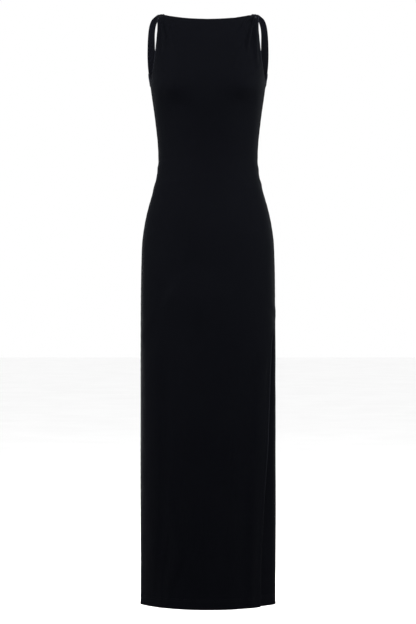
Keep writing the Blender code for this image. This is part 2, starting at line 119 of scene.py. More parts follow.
# Strap between the shoulder seam and its foot: its outer and inner edge, each as X, Y and drop
STRAP_PATH = (
    (0.1236, -0.004, 0.0032, 0.1060, -0.005, 0.0013),
    (0.1268, 0.008, 0.0034, 0.1090, 0.008, 0.0011),
    (0.1319, 0.019, 0.0058, 0.1145, 0.021, 0.0040),
    (0.1381, 0.029, 0.0102, 0.1205, 0.032, 0.0088),
    (0.1428, 0.039, 0.0182, 0.1259, 0.043, 0.0172),
    (0.1461, 0.046, 0.0305, 0.1296, 0.052, 0.0305),
    (0.1484, 0.050, 0.0500, 0.1312, 0.059, 0.0505),
    (0.1494, 0.051, 0.0700, 0.1312, 0.063, 0.0710),
    (0.1497, 0.049, 0.0930, 0.1308, 0.065, 0.0940),
    (0.1489, 0.045, 0.1170, 0.1304, 0.064, 0.1180),
)
STRAP_CROWN = 0.0018
STRAP_FULLNESS = 0.0040  # the strap is a soft fold, which bulges to its inside as well
STRAP_WAVE = 0.00035  # height of the gathers' waves where they run on into the strap
STRAP_WAVES = 2.5
STRAP_WAVE_SLANT = 0.6
STRAP_WAVE_REACH = 0.03
STRAP_WAVE_START = 0.004

# Side slit at the wearer's left: where each panel's free edge lies, as a share of the half width on the front
SLIT_COLUMNS = ("drop", "front_edge", "back_edge")
SLIT = (
    (0.755, 1.000, 1.000),
    (0.785, 0.955, 0.962),
    (0.815, 0.934, 0.915),
    (0.850, 0.925, 0.885),
    (0.940, 0.908, 0.855),
    (1.000, 0.893, 0.835),
    (1.040, 0.885, 0.820),
    (1.105, 0.857, 0.785),
    (1.185, 0.823, 0.750),
    (1.245, 0.808, 0.728),
    (1.310, 0.782, 0.705),
    (1.438, 0.764, 0.690),
)
SLIT_TOP = SLIT[0][0]
LAP_DEPTH = 0.0090  # how far inside the front the back's lap lies
LAP_ONSET = 0.030  # way down from the slit's top over which it reaches that
LAP_INSET = 0.4  # how far it moves towards the middle, as a share of that
LAP_TURN = 0.95  # share of the way from the side to the front's free edge on which it goes under
LEAST_LAP = 0.020  # cloth set aside for the lap's columns above the slit

# Bust shaping, made by the cut: one rounded fullness each side, longer above its fullest point than below
BUST_X = 0.096
BUST_DROP = 0.186
BUST_HEIGHT = 0.017
BUST_ACROSS = 0.046
BUST_ABOVE = 0.070
BUST_BELOW = 0.031

# Creases, in millimetres, as seen from one side of the dress: height of the ridge (a trough is negative),
# half width, how much narrower its one flank is than the other, and its way as (across, drop). Across is X on
# the front and the back, and Y on the sides.
FRONT_CREASES = (
    # Gathers from the wearer's left shoulder
    (3.8, 3, 0, ((116.5, 6), (115, 15), (110, 27.2), (107.5, 34.4), (104.2, 45.3), (100.8, 59.8), (97.8, 71),
        (96.2, 82), (95.6, 96), (96.2, 110), (97.5, 126))),
    (1.2, 2.4, 0, ((111, 5), (101, 16), (90.5, 25.6), (84.5, 32.9), (80.5, 40.1), (74.5, 47.4), (66, 56))),
    (-1, 2.2, 0, ((106, 6), (95.6, 18.4), (88.3, 25.6), (82.3, 32.9), (78.7, 40.1), (72.6, 47.4), (60, 59))),
    (-0.8, 2.2, 0, ((70, 11), (60, 19.5), (54.5, 25.6), (43, 35))),
    (0.9, 4.6, 0, ((110, 108), (101, 128), (90, 145))),
    (0.8, 3.6, 0, ((88, 76), (80.7, 94.1), (66.2, 118.7), (62, 132.1), (60, 146))),
    # Gathers from the wearer's right shoulder
    (2.6, 4.2, 0.1, ((-117, 5), (-114, 14), (-110.9, 39), (-105, 60), (-104.1, 85), (-105, 111))),
    (-2, 3, 0, ((-115, 13), (-112.8, 25.6), (-104.9, 38), (-100.3, 55.2), (-99, 70))),
    (1, 4, 0, ((-110, 4), (-97.5, 18), (-88, 34), (-81, 56), (-78, 70))),
    (-0.9, 5, 0, ((-85, 42), (-78, 44.5), (-72, 46), (-64, 48))),
    (0.8, 4, 0, ((-89, 64), (-84, 86), (-76, 110))),
    # Armhole edges, which roll outwards, more at the wearer's left
    (4.6, 4.4, 0, ((116.5, 8), (115.5, 25), (115, 50), (115, 80), (115.5, 105), (117.5, 130), (120, 150))),
    (2.4, 3.4, 0, ((-118.5, 8), (-118, 35), (-118, 70), (-119, 100), (-123, 130))),
    # Drags between the bust and the underarm, and under the bust
    (1, 5, 0, ((131, 130), (113, 147), (93, 158))),
    (0.8, 4.5, 0, ((-130, 126), (-112, 142), (-90, 150))),
    (-1.4, 11, 0, ((116, 200), (96, 212), (78, 223), (56, 230))),
    (-1.4, 11, 0, ((-117, 204), (-96, 218), (-74, 232), (-50, 240))),
    # Waist
    (-0.7, 3.4, 0, ((93, 334), (76, 354), (59.5, 373.6), (47, 388))),
    (-0.6, 3.4, 0, ((33, 386), (53, 408), (74.8, 432.8))),
    (-0.5, 3, 0, ((42.9, 288), (43.2, 315), (42.9, 343))),
    (0.9, 7, 0, ((-123, 406), (-100, 414), (-64, 412), (-35, 419))),
    (0.8, 6.5, 0, ((125, 418), (102, 426), (80, 423))),
    (0.7, 6, 0, ((-115, 338), (-90, 345), (-65, 342))),
    # Belly and hips
    (6.2, 46, 0, ((-100, 670), (-45, 700), (30, 730))),
    (1, 12, 0, ((-150, 535), (-120, 556), (-80, 562))),
    (0.9, 11, 0, ((150, 515), (125, 536), (90, 544))),
    # Skirt
    (4, 19, 0.35, ((-121, 760), (-122, 1000), (-123, 1200), (-132, 1380), (-135, 1550))),
    (3.6, 13, 0.3, ((-96, 1120), (-90, 1210), (-81, 1250), (-69, 1295), (-79, 1345), (-100, 1405),
        (-112, 1500))),
    (1.3, 6, 0.2, ((-97.5, 1235), (-102, 1283.2), (-111.3, 1344.2), (-114.5, 1397.6), (-115, 1520))),
    (1.4, 4.6, 0, ((-11, 1190), (-12.2, 1234.7), (-18.4, 1280), (-38.2, 1325.8), (-48, 1360))),
    (1.2, 13, 0, ((148, 810), (120, 910), (100, 1050))),
    (2.8, 17, -0.4, ((122, 760), (120, 940), (116, 1100), (108, 1240), (104, 1450), (103, 1700))),
    (1.6, 15, 0, ((55, 980), (62, 1160), (56, 1350), (60, 1560))),
    (1.3, 10, 0, ((106, 1080), (108, 1240), (104, 1380), (104, 1520))),
)
BACK_CREASES = (
    # Drags from the strap's feet
    (2.2, 7.5, 0.15, ((116, 150), (100, 215), (74, 290), (40, 356))),
    (1.3, 5.2, 0, ((127, 158), (118, 225), (102, 305))),
    (1.9, 7, 0.15, ((-119, 150), (-106, 205), (-85, 272), (-58, 335))),
    (1.4, 5.2, 0, ((-128, 160), (-121, 235), (-108, 320))),
    # The small of the back, where the cloth gathers above the seat
    (2.2, 8.5, 0.1, ((-90, 386), (-42, 402), (15, 399), (64, 407))),
    (1.7, 7.8, 0, ((-53, 428), (5, 437), (76, 430))),
    (1.2, 7, 0, ((18, 464), (60, 469), (98, 459))),
    (1.2, 8, 0, ((-108, 448), (-73, 460), (-35, 458))),
    # Skirt
    (3, 15, 0, ((-72, 700), (-64, 860), (-70, 1060), (-79, 1290))),
    (3.4, 15, 0, ((40, 730), (46, 950), (38, 1180), (50, 1420), (52, 1600))),
    (2.6, 12, 0, ((-12, 960), (-17, 1160), (-5, 1400), (-2, 1560))),
    (2.8, 13, 0, ((102, 880), (108, 1100), (99, 1350), (101, 1560))),
    (3.2, 13, 0, ((-121, 990), (-113, 1200), (-120, 1440), (-121, 1600))),
    (3, 9, 0.25, ((-64, 1240), (-42, 1310), (-52, 1380), (-56, 1500))),
)
LEFT_CREASES = (
    (0.9, 7, 0, ((-50, 370), (0, 380), (55, 372))),
    (1, 8, 0, ((-26, 410), (28, 421), (76, 414))),
    (1.2, 9, 0, ((-5, 745), (18, 705), (48, 668))),
    (1.2, 9, 0, ((10, 768), (40, 805), (64, 870))),
    (1, 8, 0, ((-6, 748), (-32, 715), (-62, 698))),
)
RIGHT_CREASES = (
    (0.8, 7, 0, ((-54, 364), (-5, 377), (45, 370))),
    (1, 8, 0, ((-16, 424), (30, 420), (74, 426))),
    (1, 11, 0, ((6, 580), (42, 608), (70, 652))),
    (1.4, 13, 0, ((30, 860), (34, 1080), (30, 1320), (32, 1540))),
)
CREASE_START = 0.14  # share of a crease's length over which it rises
CREASE_END = 0.42  # and over which it dies out
TROUGH_DEPTH = 0.32  # the hollow on each side of a ridge, as a share of its height
TROUGH_OFFSET = 1.9  # and its distance, in half widths
CREASE_POINTS = 9  # points for each stretch of a crease's way
CREASE_BREADTH = 4  # half widths to its side beyond which it isn't felt
CREASE_FACING = 0.5  # a view's creases fade as the cloth turns away from it past this
UNEVENNESS = 0.0005  # of the cloth between its creases
UNEVEN_SCALE = (14.0, 14.0, 8.0)  # waves a metre along X, Y and Z
UNEVEN_FRACTAL = (0.6, 2.0, 3)  # its fractal increment, lacunarity and octaves

# Small tucks where the front is gathered into the strap
TUCKS = 11
TUCK_HEIGHT = 0.0005
TUCK_HALF_WIDTH = 0.0085  # as a share of the half panel's cloth
TUCK_REACH = 0.016
TUCK_START = 0.002
TUCK_SHIFT = 0.3  # most that one is out of place, as a share of their pitch
TUCK_HEIGHTS = (0.5, 1.3)  # least and most, as shares of the plain height and reach
TUCK_REACHES = (0.5, 1.6)
TUCK_SEED = 7

# Turned edges: a band folded in and stitched, with a rounded rim
BAND_WIDTH = 0.0066
BAND_RISE = 0.00030
BAND_INSIDE = 0.0006
GROOVE_DEPTH = 0.00028
GROOVE_WIDTH = 0.0007
ROLL_HEIGHT = 0.0008  # a turned edge bulges a little just inside its rim
ROLL_DISTANCE = 0.0042
ROLL_WIDTH = 0.0028
HEM_WIDTH = 0.0250
PAINTED_HIGHLIGHT_WIDTH = 0.0024  # painted highlight: the fold of a turned edge is painted paler this far in, where it catches the light
PAINTED_HIGHLIGHT_FADE = 0.95  # drop from which that fades, and the way down over which it is gone
PAINTED_HIGHLIGHT_FADE_REACH = 0.31
PAINTED_HIGHLIGHT_ATTRIBUTE = "painted_edge_highlight"  # the attribute that keeps the painted edge highlight
RIM_LEAST = 0.12  # thickness left at the very rim, as a share
SEAM_SINK = 0.0006
SEAM_SINK_WIDTH = 0.0022
PUCKER_HEIGHT = 0.00030
PUCKER_PITCH = 0.021
PUCKER_REACH = 0.011
PUCKER_START = 0.002
PUCKER_SHIFT = 0.006  # along the seam, between the front's and the back's
PUCKER_DRIFT = ((1.7, 11.0), (2.0, 29.0))  # how unevenly they are spaced: radians, and waves along the seam
PUCKER_SWELL = (0.35, 17.0)  # and how unevenly high they are: share, and waves

# Distances from an edge over which the cloth is held to its plain form
HOLD_SIDE = 0.012
HOLD_TOP = 0.006
HOLD_BLEND = 0.007
HOLD_CREASE_SIDE = 0.006
HOLD_CREASE_TOP = 0.004
HOLD_SCOOP = 0.012

# Over how much of an edge its finish changes from sewn to free
ARMHOLE_FADE = 0.010
SLIT_FADE = 0.012
NECK_FADE = 0.003
FOOT_FADE = 0.01  # as a share of the half section

# The side seams' allowances, pressed flat inside
ALLOWANCE_COLUMNS = (0.0084, 0.0052, 0.0014)
ALLOWANCE_CLOTH = 0.0010
ALLOWANCE_STEP = 0.006
ALLOWANCE_END = 0.002  # how far short of the seam's ends they stop

# Where the cloth is sampled
EDGE_STEPS = (0.0, 0.0001, 0.0004, 0.0008, 0.0014, 0.0024, 0.0038, 0.0052, 0.0061, 0.0067, 0.0073, 0.0084,
              0.0102, 0.0125)
HEM_STEPS = (0.0, 0.0001, 0.0004, 0.0008, 0.0014, 0.0030, 0.0055, 0.0085, 0.0120, 0.0160, 0.0200, 0.0232,
             0.0246, 0.0252, 0.0258, 0.0270, 0.0300, 0.0345)
INNER_COLUMNS = (18, 42)  # in the half line's inner and outer part
FRONT_HALF_CLOTH = 0.19  # the front's half width of cloth, for its UVs
LAP_COLUMNS = 12
YOKE_ROWS = 84
LEVEL_STEP = 0.0068
SCOOP_ROWS = 46
DENSE = 481  # points of a half line before the columns are placed on it
DENSE_LAP = 160  # and of its lap
STRAP_ROWS = 120
STRAP_COLUMNS = 25


def column(table, names, name):
    """One named column of a table, as an array."""
    return np.array([row[names.index(name)] for row in table], float)


def smooth(at, knots, values):
    """A curve through (knots, values) that never swings past them, read at one or many places."""
    step = np.diff(knots)
    slope = np.diff(values) / step
    same_way = slope[1:] * slope[:-1] > 0
    total = np.where(same_way, slope[1:] + slope[:-1], 1.0)
    inside = np.where(same_way, 2 * slope[1:] * slope[:-1] / total, 0.0)
    tangent = np.concatenate([[slope[0]], inside, [slope[-1]]])
    at = np.clip(at, knots[0], knots[-1])
    i = np.clip(np.searchsorted(knots, at, side="right") - 1, 0, len(step) - 1)
    t = (at - knots[i]) / step[i]
    start = (2 * t**3 - 3 * t**2 + 1) * values[i] + (t**3 - 2 * t**2 + t) * step[i] * tangent[i]
    return start + (3 * t**2 - 2 * t**3) * values[i + 1] + (t**3 - t**2) * step[i] * tangent[i + 1]


def section(name, drop):
    """A size of the garment's level section at a drop."""
    return smooth(drop, column(SECTIONS, SECTION_COLUMNS, "drop"), column(SECTIONS, SECTION_COLUMNS, name))


def slit_share(name, drop):
    """How far round the front a free edge of the slit lies; 1 is the side seam."""
    return smooth(drop, column(SLIT, SLIT_COLUMNS, "drop"), column(SLIT, SLIT_COLUMNS, name))


def ease(t):
    """0 to 1 with a soft start and end."""
    t = np.clip(t, 0.0, 1.0)
    return t * t * (3 - 2 * t)


def roundness(u, power):
    """Depth of a section at the share u of its half width: 1 at the centre, 0 at the side."""
    return np.clip(1 - np.abs(u) ** ACROSS_POWER, 0.0, 1.0) ** (1 / power)


def crowded(count):
    """Shares from 0 to 1, closer together towards 1, where a section turns round the side."""
    return np.sin(np.linspace(0, np.pi / 2, count))


def distances(line):
    """Distance of each of a line's points from its start."""
    return np.concatenate([[0.0], np.cumsum(np.linalg.norm(np.diff(line, axis=0), axis=1))])


def length(line):
    """Length of a line of points."""
    return distances(line)[-1]


def at_shares(line, shares):
    """Points at given shares of a line's length."""
    along = distances(line)
    return np.stack([np.interp(np.asarray(shares) * along[-1], along, line[:, k]) for k in range(3)], axis=1)


def bust(x, drop):
    """How far the bust shaping stands out."""
    spread = np.where(drop < BUST_DROP, BUST_ABOVE, BUST_BELOW)
    across = (np.abs(x) - BUST_X) / BUST_ACROSS
    return BUST_HEIGHT * np.exp(-(across**2) - ((drop - BUST_DROP) / spread) ** 2)


def front_level_half(drop, side):
    """Half of a crosswise line of the front below the underarm, centre to edge."""
    edge = slit_share("front_edge", drop) if side > 0 else 1.0
    u = crowded(DENSE) * edge
    depth = section("front", drop) * roundness(u, section("front_power", drop))
    if edge == 1.0:
        depth = np.maximum(depth, SEAM_GAP / 2)
    return np.stack([side * u * section("half_width", drop), -depth, np.full(DENSE, -drop)], axis=1)


def at_neckline(name):
    """A value of the yoke's top row."""
    return YOKE[0][YOKE_COLUMNS.index(name)]


def neckline(x, edge_x, edge_drop, edge_depth):
    """Drop and depth of the front's top edge: the boat neck, then straight along the shoulder seam."""
    u = np.clip(x / SEAM_INNER_X, 0.0, 1.0)
    centre_drop, centre_depth = at_neckline("centre_drop"), at_neckline("centre_depth")
    neck_drop = centre_drop + (SEAM_INNER_DROP - centre_drop) * u**NECK_DIP_POWER
    neck_depth = centre_depth + (SEAM_INNER_DEPTH - centre_depth) * u**NECK_CURVE_POWER
    seam = np.clip((x - SEAM_INNER_X) / (edge_x - SEAM_INNER_X), 0.0, 1.0)
    drop = neck_drop + (edge_drop - SEAM_INNER_DROP) * seam
    return drop, neck_depth + (edge_depth - SEAM_INNER_DEPTH) * seam


def yoke_half(t, side):
    """Half of a crosswise line of the yoke; t is 0 at the neckline and 1 at the underarm."""
    knots = np.linspace(0, 1, len(YOKE))
    centre_drop, centre_depth, edge_x, edge_depth, edge_drop, cover = (
        smooth(t, knots, column(YOKE, YOKE_COLUMNS, name)) for name in YOKE_COLUMNS
    )
    u = crowded(DENSE)
    x = u * edge_x
    power = section("front_power", UNDERARM_DROP)
    if t > knots[-2]:  # the armhole's edge runs into the side seam along the torso's own section
        cover = (1 - (edge_depth / centre_depth) ** power) ** (1 / ACROSS_POWER)
    fall = (1 - roundness(u * cover, power)) / (1 - roundness(cover, power))
    depth = centre_depth + (edge_depth - centre_depth) * fall
    drop = centre_drop + (edge_drop - centre_drop) * u**NECK_DIP_POWER
    neck_drop, neck_depth = neckline(x, edge_x, edge_drop, edge_depth)
    near_top = (1 - ease(t / NECK_REACH)) ** 2
    drop = drop + (neck_drop - drop) * near_top
    depth = depth + (neck_depth - depth) * near_top
    depth = np.maximum(depth, SEAM_GAP / 2)
    return np.stack([side * x, -depth, -drop], axis=1)


def gathered(shares, t, line):
    """Shares of the cloth, moved so that at the neckline those beyond SEAM_SHARE lie in the shoulder seam."""
    along = distances(line)
    seam_start = np.interp(SEAM_INNER_X, np.abs(line[:, 0]), along) / along[-1]
    top = np.interp(shares, [0.0, SEAM_SHARE, 1.0], [0.0, seam_start, 1.0])
    spread = 1 - (1 - min(t / FAN_LENGTH, 1.0)) ** FAN_POWER
    return top + (np.asarray(shares) - top) * spread


def back_top_drop(share):
    """Drop of the back's upper edge at a share of the half section, from the centre back."""
    scoop = SCOOP_DROP + (FOOT_INNER_DROP - SCOOP_DROP) * (share / FOOT_INNER_SHARE) ** SCOOP_POWER
    foot = np.interp(share, [FOOT_INNER_SHARE, FOOT_OUTER_SHARE], [FOOT_INNER_DROP, FOOT_OUTER_DROP])
    t = (share - FOOT_OUTER_SHARE) / (1 - FOOT_OUTER_SHARE)
    curve = 1 - (1 - np.clip(t, 0, 1)) ** ARMHOLE_POWER
    armhole = FOOT_OUTER_DROP + (UNDERARM_DROP - FOOT_OUTER_DROP) * curve
    return np.where(share < FOOT_INNER_SHARE, scoop, np.where(share <= FOOT_OUTER_SHARE, foot, armhole))


def back_half(drop, side):
    """Half of a level line round the back, with the slit's lap at its end, and the lap's length."""
    half_width = section("half_width", drop)
    lap_edge = slit_share("back_edge", drop) if side > 0 else 1.0
    least = 0.0 if lap_edge < 1.0 else SEAM_GAP / 2
    u = crowded(DENSE)
    y = np.maximum(section("back", drop) * roundness(u, section("back_power", drop)), least)
    line = np.stack([side * u * half_width, y, np.full(DENSE, -drop)], axis=1)
    if lap_edge == 1.0:
        return line, 0.0
    u = np.linspace(1.0, lap_edge, DENSE_LAP)[1:]
    x, y = u * half_width, -section("front", drop) * roundness(u, section("front_power", drop))
    turn = LAP_TURN * (1 - slit_share("front_edge", drop))
    tuck = LAP_DEPTH * ease((drop - SLIT_TOP) / LAP_ONSET) * ease((1 - u) / turn)
    lap = np.stack([x - LAP_INSET * tuck, y + tuck, np.full(len(u), -drop)], axis=1)
    return np.concatenate([line, lap]), length(lap)


def half_shares(reach, lap=None):
    """Where the columns of a half line of length reach lie: apart in its body, closer towards its edge or its
    lap, then at set distances from its edge."""
    few, many = INNER_COLUMNS
    body = np.concatenate([np.linspace(0, 0.5, few + 1)[:-1], np.linspace(0.5, 1, many + 1)[:-1]])
    edge = 1 - np.array(EDGE_STEPS[::-1]) / reach
    if lap is None:
        return np.concatenate([body * edge[0], edge])
    fold = 1 - max(lap, LEAST_LAP) / reach
    return np.concatenate([body * fold, np.linspace(fold, edge[0], LAP_COLUMNS + 1)[:-1], edge])


def level_drops(top):
    """Drops of the level rows from one drop to the hem, closer together at the hem."""
    above_hem = HEM_DROP - HEM_STEPS[-1]
    count = round((above_hem - top) / LEVEL_STEP)
    above = np.linspace(top, above_hem, count + 1)[:-1]
    return np.concatenate([above, HEM_DROP - np.array(HEM_STEPS[::-1])])


def joined(rows):
    """Rows of right and left halves, joined from right to left: an array for each thing that a half gives."""
    return [np.array([np.concatenate([right[k][:0:-1], left[k]]) for right, left in rows]) for k in range(3)]


def front_form():
    """The front's plain form: its points, each one's distance to the side edge and its share of the half, and
    how many rows lie above the level ones."""
    centre_drop = column(YOKE, YOKE_COLUMNS, "centre_drop")
    first = (centre_drop[1] - centre_drop[0]) * (len(YOKE) - 1)
    near_edge = np.array(EDGE_STEPS) / first
    steps = np.concatenate([near_edge, np.linspace(near_edge[-1], 1, YOKE_ROWS + 1)[1:-1]])
    rows = []
    places = [(yoke_half, t) for t in steps]
    places += [(front_level_half, drop) for drop in level_drops(UNDERARM_DROP)]
    for half, place in places:
        row = []
        for side in (-1, 1):
            line = half(place, side)
            share = half_shares(length(line))
            at = gathered(share, place, line) if half is yoke_half else share
            row.append((at_shares(line, at), (1 - share) * length(line), side * share))
        rows.append(row)
    return (*joined(rows), len(steps))


def back_row_half(drop, side):
    """A level line round half of the back, its length and where its columns lie."""
    line, lap = back_half(drop, side)
    reach = length(line)
    return line, reach, half_shares(reach, lap if side > 0 else None)


def back_upper_half(side):
    """Half of the back's rows between its upper edge and the level ones, each as back_form's rows have it."""
    reach, share = back_row_half(LEVEL_DROP, side)[1:]
    top = back_top_drop(share)
    steepness = np.sqrt(1 + (np.gradient(top) / np.gradient(share * reach)) ** 2)
    around = 2 * STEEPNESS_COLUMNS + 1
    even = np.convolve(np.pad(steepness, STEEPNESS_COLUMNS, mode="edge"), np.ones(around) / around, "valid")
    near = top + np.array(EDGE_STEPS)[:, None] * np.minimum(even, MOST_STEEPNESS)
    fractions = np.linspace(0, 1, SCOOP_ROWS + 1)[1:-1, None]
    rows = []
    for drops in np.concatenate([near, near[-1] + (LEVEL_DROP - near[-1]) * fractions]):
        points = [at_shares(back_half(drop, side)[0], [at])[0] for drop, at in zip(drops, share)]
        rows.append((np.array(points), (1 - share) * reach, side * share * reach))
    return rows


def back_form():
    """The back's plain form: its points, each one's distance to the side edge and from the centre back."""
    rows = list(zip(back_upper_half(-1), back_upper_half(1)))
    for drop in level_drops(LEVEL_DROP):
        row = []
        for side in (-1, 1):
            line, reach, share = back_row_half(drop, side)
            row.append((at_shares(line, share), (1 - share) * reach, side * share * reach))
        rows.append(row)
    return [values[:, ::-1] for values in joined(rows)]


def blended(grid, freedom):
    """The grid, evened out about the underarm, where the yoke's rows meet the level ones."""
    drops = -grid[..., 2]
    even = grid.copy()
    for k in range(grid.shape[1]):
        for axis in (0, 1):
            line = grid[:, k, axis]
            around = [np.interp(drops[:, k] + reach, drops[:, k], line) for reach in BLEND_REACHES]
            even[:, k, axis] = np.mean(around, axis=0)
    near = np.exp(-(((drops - UNDERARM_DROP) / UNDERARM_REACH) ** 2)) * freedom
    return grid + (even - grid) * near[..., None]


def normals(grid):
    """Outward unit normals of a grid whose rows run down and whose columns run anticlockwise from above."""
    n = np.cross(np.gradient(grid, axis=0), np.gradient(grid, axis=1))
    return n / np.maximum(np.linalg.norm(n, axis=2, keepdims=True), 1e-12)


def rounded(path):
    """A smooth line through the few points of a crease's way."""
    points = np.array(path, float)
    ends = np.concatenate([[2 * points[0] - points[1]], points, [2 * points[-1] - points[-2]]])
    t = np.linspace(0, 1, CREASE_POINTS, endpoint=False)[:, None]
    line = []
    for a, b, c, d in zip(ends, ends[1:], ends[2:], ends[3:]):
        line.append(0.5 * (2 * b + (c - a) * t + (2 * a - 5 * b + 4 * c - d) * t**2
                           + (3 * b - a - 3 * c + d) * t**3))
    return np.concatenate([*line, points[-1:]])


def crease(places, height, half_width, lean, path):
    """How far one crease lifts the cloth at each of the places, all in millimetres."""
    line = rounded(path)
    along = np.diff(line, axis=0)
    run = distances(line)
    breadth = CREASE_BREADTH * half_width
    near = np.all((places > line.min(0) - breadth) & (places < line.max(0) + breadth), axis=1)
    lift = np.zeros(len(places))
    p = places[near][:, None] - line[None, :-1]
    t = np.clip((p * along).sum(2) / (along**2).sum(1), 0, 1)
    gap = np.linalg.norm(p - t[..., None] * along, axis=2)
    k = gap.argmin(1)
    each = np.arange(len(k))
    side = np.sign(along[k, 0] * p[each, k, 1] - along[k, 1] * p[each, k, 0])
    share = (run[k] + t[each, k] * np.diff(run)[k]) / run[-1]
    offset = gap[each, k] / (half_width * (1 + lean * side))
    fade = ease(share / CREASE_START) * ease((1 - share) / CREASE_END)
    trough = TROUGH_DEPTH * np.exp(-((offset - TROUGH_OFFSET) ** 2))
    lift[near] = height * fade * (np.exp(-(offset**2)) - trough)
    return lift


VIEWS = {
    "front": (FRONT_CREASES, 0, 1, -1),
    "back": (BACK_CREASES, 0, 1, 1),
    "left": (LEFT_CREASES, 1, 0, 1),
    "right": (RIGHT_CREASES, 1, 0, -1),
}


def creases(grid, normal, views):
    """How far the creases of some views lift the cloth, each where the cloth faces that way."""
    points, facing_all = grid.reshape(-1, 3), normal.reshape(-1, 3)
    total = np.zeros(len(points))
    for view in views:
        table, across, axis, sign = VIEWS[view]
        places = np.stack([points[:, across], -points[:, 2]], axis=1) * 1000
        facing = ease(sign * facing_all[:, axis] / CREASE_FACING)
        for row in table:
            total += crease(places, *row) * facing
    return total.reshape(grid.shape[:2]) / 1000


def unevenness(grid):
    """The cloth's own small unevenness."""
    scaled = grid.reshape(-1, 3) * UNEVEN_SCALE
    values = [noise.fractal(Vector(p), *UNEVEN_FRACTAL) for p in scaled.tolist()]
    return UNEVENNESS * np.array(values).reshape(grid.shape[:2])


def tucks(share, down):
    """Small tucks of the front where it goes into the shoulder seams, uneven in place, height and reach."""
    rng = np.random.default_rng(TUCK_SEED)
    total = np.zeros_like(share)
    for side in (-1, 1):
        for k in range(TUCKS):
            at = (k + 0.5 + rng.uniform(-TUCK_SHIFT, TUCK_SHIFT)) / TUCKS
            place = SEAM_SHARE + (1 - SEAM_SHARE) * at
            height = TUCK_HEIGHT * rng.uniform(*TUCK_HEIGHTS)
            reach = TUCK_REACH * rng.uniform(*TUCK_REACHES)
            ridge = np.exp(-(((side * share - place) / TUCK_HALF_WIDTH) ** 2))
            total += height * ridge * np.exp(-down / reach) * ease(down / TUCK_START)
    return total


def band(distance, width):
    """How far a turned edge stands out: raised to its width, with a roll, and a groove at the stitches."""
    raised = BAND_RISE * (1 - ease((distance - width) / GROOVE_WIDTH))
    raised = raised + ROLL_HEIGHT * np.exp(-(((distance - ROLL_DISTANCE) / ROLL_WIDTH) ** 2))
    return raised - GROOVE_DEPTH * np.exp(-(((distance - width + GROOVE_WIDTH) / GROOVE_WIDTH) ** 2))


def rim(distance, thickness):
    """Share of the cloth's thickness left near a rounded rim."""
    t = 1 - np.clip(distance / (thickness / 2), 0.0, 1.0)
    return np.maximum(np.sqrt(1 - t * t), RIM_LEAST)


def puckers(along, distance):
    """Small waves along a stitched edge or seam."""
    drift = sum(size * np.sin(rate * along) for size, rate in PUCKER_DRIFT)
    wave = np.sin(2 * np.pi * along / PUCKER_PITCH + drift)
    share, rate = PUCKER_SWELL
    swell = 1 - share + share * np.sin(rate * along + 1.0)
    return PUCKER_HEIGHT * wave * swell * np.exp(-distance / PUCKER_REACH)


def edge_profile(edges):
    """Outer lift, inner sink and share of thickness of the cloth near its edges. Each edge is its distance,
    how free it is and its width."""
    lift, sink, left = 0.0, 0.0, 1.0
    for distance, free, width in edges:
        lift = lift + free * band(distance, width)
        sink = sink + free * BAND_INSIDE * (1 - ease((distance - width) / GROOVE_WIDTH))
        left = left * (1 - free * (1 - rim(distance, CLOTH)))
    return lift, sink, left


def edge_highlight_share(edges, drop):
    """Share of painted highlight near free edges, most at their folds and less low down, where less light
    falls.
    """
    painted_edge_highlight = np.maximum.reduce([free * np.exp(-((distance / PAINTED_HIGHLIGHT_WIDTH) ** 2)) for distance, free, _ in edges])
    return painted_edge_highlight * (1 - ease((drop - PAINTED_HIGHLIGHT_FADE) / PAINTED_HIGHLIGHT_FADE_REACH))


def cloth_wall(grid, lift, sink, left, thickness):
    """Outer and inner grid of a cloth around its plain outer surface."""
    normal = normals(grid)
    lost = ((1 - left) * thickness / 2)[..., None]
    outer = grid + normal * (lift[..., None] * left[..., None] - lost)
    inner = grid - normal * (thickness + sink[..., None] * left[..., None] - lost)
    return outer, inner


def placed(name, data):
    """A new object of the scene."""
    obj = bpy.data.objects.new(name, data)
    bpy.context.scene.collection.objects.link(obj)
    return obj


def smooth_object(name, points, faces, material):
    """A smoothly shaded piece. Its points are given from the straps' highest point."""
    mesh = bpy.data.meshes.new(name)
    mesh.from_pydata((points + [0.0, 0.0, STRAP_RISE]).tolist(), [], faces)
    mesh.shade_smooth()
    mesh.materials.append(material)
    return placed(name, mesh)


def wall_object(name, outer, inner, uv, material, painted_edge_highlight=None):
    """A closed sheet of cloth between two grids of the same shape. Its edges' painted highlight is kept on
    its points.
    """
    rows, columns = outer.shape[:2]
    count = rows * columns
    index = np.arange(count).reshape(rows, columns)
    a, b, c, d = (m.ravel() for m in (index[:-1, :-1], index[:-1, 1:], index[1:, 1:], index[1:, :-1]))
    sides = [np.stack([d, c, b, a], axis=1), np.stack([a, b, c, d], axis=1) + count]
    around = np.concatenate([index[0, :], index[1:, -1], index[-1, -2::-1], index[-2:0:-1, 0]])
    after = np.roll(around, -1)
    sides.append(np.stack([around, after, after + count, around + count], axis=1))
    faces = np.concatenate(sides)
    points = np.concatenate([outer.reshape(-1, 3), inner.reshape(-1, 3)])
    obj = smooth_object(name, points, faces.tolist(), material)
    layer = obj.data.uv_layers.new(name="cloth")
    both = np.concatenate([uv.reshape(-1, 2), uv.reshape(-1, 2) + [INSIDE_U, 0.0]])
    layer.data.foreach_set("uv", both[faces.ravel()].astype(np.float32).ravel())
    if painted_edge_highlight is not None:
        values = obj.data.attributes.new(PAINTED_HIGHLIGHT_ATTRIBUTE, "FLOAT", "POINT")
        values.data.foreach_set("value", np.tile(painted_edge_highlight.ravel(), 2).astype(np.float32))
    return obj


